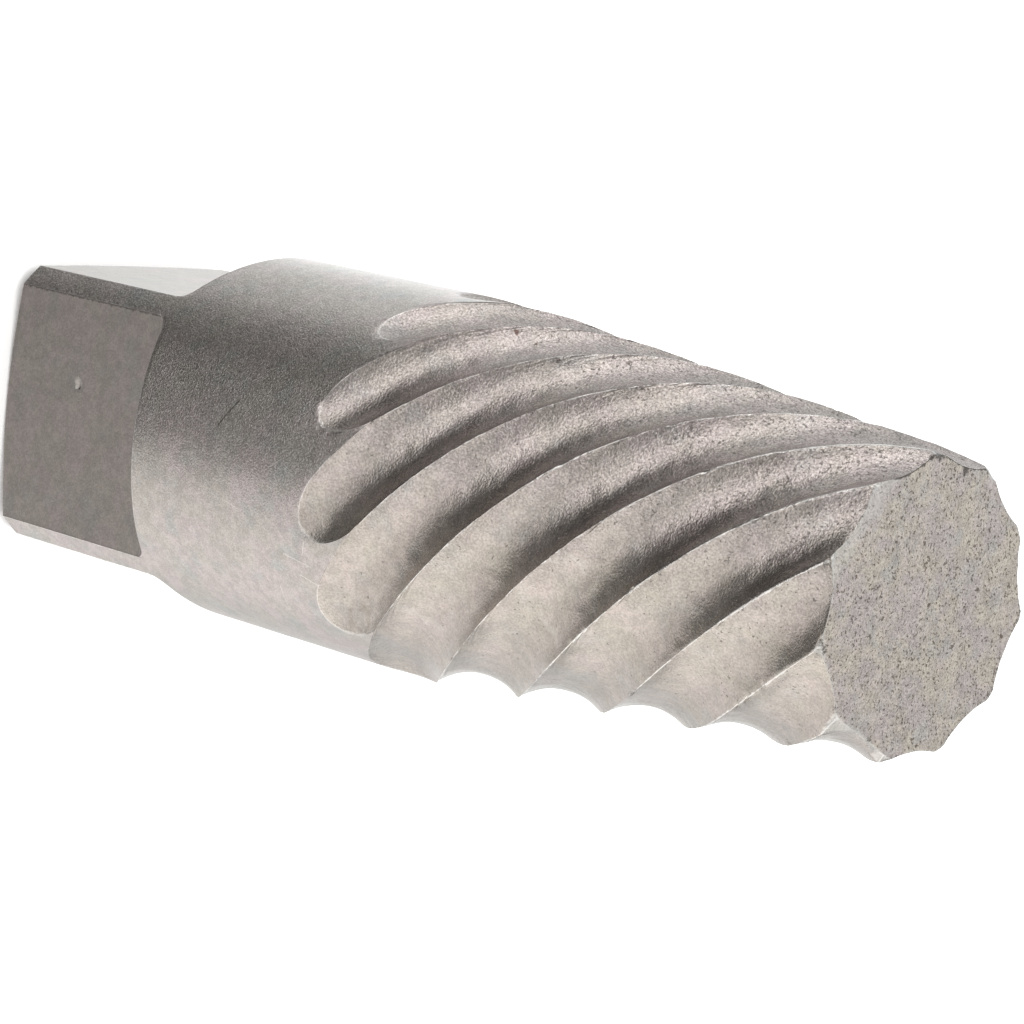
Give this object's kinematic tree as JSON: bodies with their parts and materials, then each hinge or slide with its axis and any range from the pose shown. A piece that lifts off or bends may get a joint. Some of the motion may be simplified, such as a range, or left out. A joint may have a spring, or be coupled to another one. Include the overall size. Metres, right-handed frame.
{
  "type": "spiral screw extractor",
  "caption": "Large tapered left-hand spiral-fluted extractor with a square drive end, for backing broken screws out of a drilled hole.",
  "frame": {"origin": "centre of the flat disc on the square drive end, on the surface that the tool stands on", "axes": "+Z along the tool's axis, from the square drive end up to the small fluted end; -Y is the outward normal of one of the four drive flats, and the other three face +X, +Y and -X"},
  "size_m": [0.0476, 0.0476, 0.1429],
  "materials": {
    "extractor_steel": "hardened tool steel, matt grey and finely grained from shot blasting, with bare metal along the crests"
  },
  "bodies": {
    "root": {"screw_extractor": "extractor_steel"}
  },
  "joints": []
}
